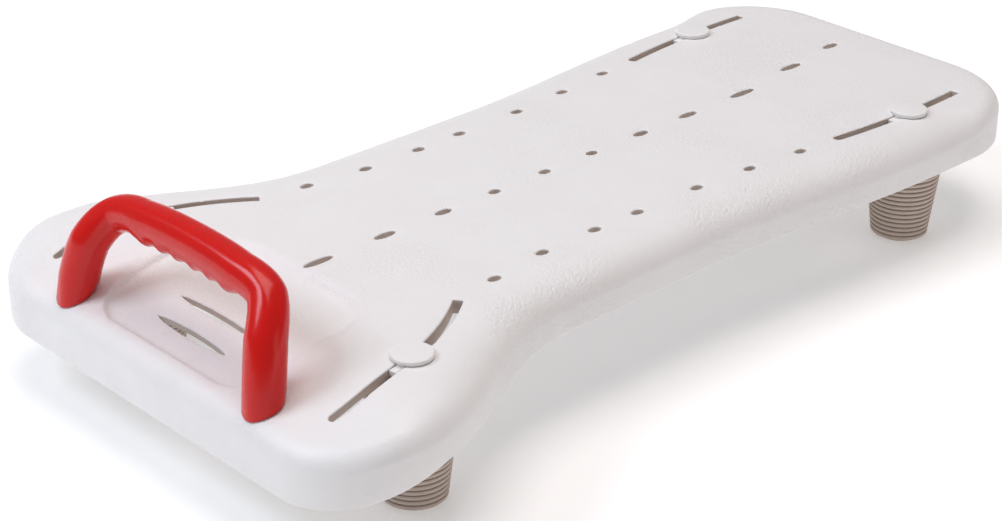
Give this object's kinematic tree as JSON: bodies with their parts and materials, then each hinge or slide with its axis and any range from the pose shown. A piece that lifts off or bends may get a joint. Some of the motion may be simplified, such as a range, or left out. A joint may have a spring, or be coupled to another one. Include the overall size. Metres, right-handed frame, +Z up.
{
  "type": "bath transfer bench",
  "caption": "Low waisted seat board for a bath, with a rolled edge, drain holes, a soap dish, a bent grab handle and ribbed rubber feet clamped through curved slots.",
  "frame": {"origin": "on the floor, below the middle of the board", "axes": "+X along the board from the wide end with the handle to the narrow end, +Y to the left of that direction, +Z up"},
  "size_m": [0.706, 0.384, 0.1541],
  "materials": {
    "white_plastic": "fine-grained white moulding",
    "red_plastic": "smooth glossy red",
    "beige_rubber": "matt beige-grey",
    "grey_plastic": "plain grey moulding",
    "plated_steel": "zinc plated",
    "brass_insert": "turned"
  },
  "bodies": {
    "board": {"seat_board": "white_plastic", "grab_handle": "red_plastic", "handle_insert_left": "brass_insert", "handle_insert_right": "brass_insert", "handle_screw_left": "plated_steel", "handle_screw_right": "plated_steel", "handle_washer_left": "plated_steel", "handle_washer_right": "plated_steel"},
    "saddle_wide_left": {"clamp_saddle_wide_left": "grey_plastic"},
    "foot_wide_left": {"foot_core_wide_left": "grey_plastic", "foot_nut_wide_left": "plated_steel", "foot_sleeve_wide_left": "beige_rubber"},
    "cap_wide_left": {"clamp_cap_wide_left": "white_plastic", "clamp_stud_wide_left": "plated_steel"},
    "saddle_wide_right": {"clamp_saddle_wide_right": "grey_plastic"},
    "foot_wide_right": {"foot_core_wide_right": "grey_plastic", "foot_nut_wide_right": "plated_steel", "foot_sleeve_wide_right": "beige_rubber"},
    "cap_wide_right": {"clamp_cap_wide_right": "white_plastic", "clamp_stud_wide_right": "plated_steel"},
    "saddle_narrow_left": {"clamp_saddle_narrow_left": "grey_plastic"},
    "foot_narrow_left": {"foot_core_narrow_left": "grey_plastic", "foot_nut_narrow_left": "plated_steel", "foot_sleeve_narrow_left": "beige_rubber"},
    "cap_narrow_left": {"clamp_cap_narrow_left": "white_plastic", "clamp_stud_narrow_left": "plated_steel"},
    "saddle_narrow_right": {"clamp_saddle_narrow_right": "grey_plastic"},
    "foot_narrow_right": {"foot_core_narrow_right": "grey_plastic", "foot_nut_narrow_right": "plated_steel", "foot_sleeve_narrow_right": "beige_rubber"},
    "cap_narrow_right": {"clamp_cap_narrow_right": "white_plastic", "clamp_stud_narrow_right": "plated_steel"}
  },
  "joints": [
    {"name": "wide_left_foot_travel", "type": "hinge", "parent": "board", "child": "saddle_wide_left", "pos_m": [-0.30648, -0.05579, 0.084], "axis": [0, 0, 1], "range_deg": [-15.79, 6.08]},
    {"name": "wide_left_foot_turn", "type": "hinge", "parent": "saddle_wide_left", "child": "foot_wide_left", "pos_m": [-0.25379, 0.13193, 0.04], "axis": [0, 0, -1], "range_deg": [0, 1080]},
    {"name": "wide_left_cap_lift", "type": "slide", "parent": "saddle_wide_left", "child": "cap_wide_left", "axis": [0, 0, 1], "range_m": [0, 0.003]},
    {"name": "wide_right_foot_travel", "type": "hinge", "parent": "board", "child": "saddle_wide_right", "pos_m": [-0.30648, 0.05579, 0.084], "axis": [0, 0, -1], "range_deg": [-15.79, 6.08]},
    {"name": "wide_right_foot_turn", "type": "hinge", "parent": "saddle_wide_right", "child": "foot_wide_right", "pos_m": [-0.25379, -0.13193, 0.04], "axis": [0, 0, -1], "range_deg": [0, 1080]},
    {"name": "wide_right_cap_lift", "type": "slide", "parent": "saddle_wide_right", "child": "cap_wide_right", "axis": [0, 0, 1], "range_m": [0, 0.003]},
    {"name": "narrow_left_foot_travel", "type": "hinge", "parent": "board", "child": "saddle_narrow_left", "pos_m": [0.26294, -0.57503, 0.084], "axis": [0, 0, -1], "range_deg": [-4.2, 2.9]},
    {"name": "narrow_left_foot_turn", "type": "hinge", "parent": "saddle_narrow_left", "child": "foot_narrow_left", "pos_m": [0.24523, 0.10569, 0.04], "axis": [0, 0, -1], "range_deg": [0, 1080]},
    {"name": "narrow_left_cap_lift", "type": "slide", "parent": "saddle_narrow_left", "child": "cap_narrow_left", "axis": [0, 0, 1], "range_m": [0, 0.003]},
    {"name": "narrow_right_foot_travel", "type": "hinge", "parent": "board", "child": "saddle_narrow_right", "pos_m": [0.26294, 0.57503, 0.084], "axis": [0, 0, 1], "range_deg": [-4.2, 2.9]},
    {"name": "narrow_right_foot_turn", "type": "hinge", "parent": "saddle_narrow_right", "child": "foot_narrow_right", "pos_m": [0.24523, -0.10569, 0.04], "axis": [0, 0, -1], "range_deg": [0, 1080]},
    {"name": "narrow_right_cap_lift", "type": "slide", "parent": "saddle_narrow_right", "child": "cap_narrow_right", "axis": [0, 0, 1], "range_m": [0, 0.003]}
  ],
  "couplings": [
    {"joint": "wide_left_cap_lift", "follows": "wide_left_foot_turn", "m_per_rad": 0.00015915},
    {"joint": "wide_right_cap_lift", "follows": "wide_right_foot_turn", "m_per_rad": 0.00015915},
    {"joint": "narrow_left_cap_lift", "follows": "narrow_left_foot_turn", "m_per_rad": 0.00015915},
    {"joint": "narrow_right_cap_lift", "follows": "narrow_right_foot_turn", "m_per_rad": 0.00015915}
  ]
}
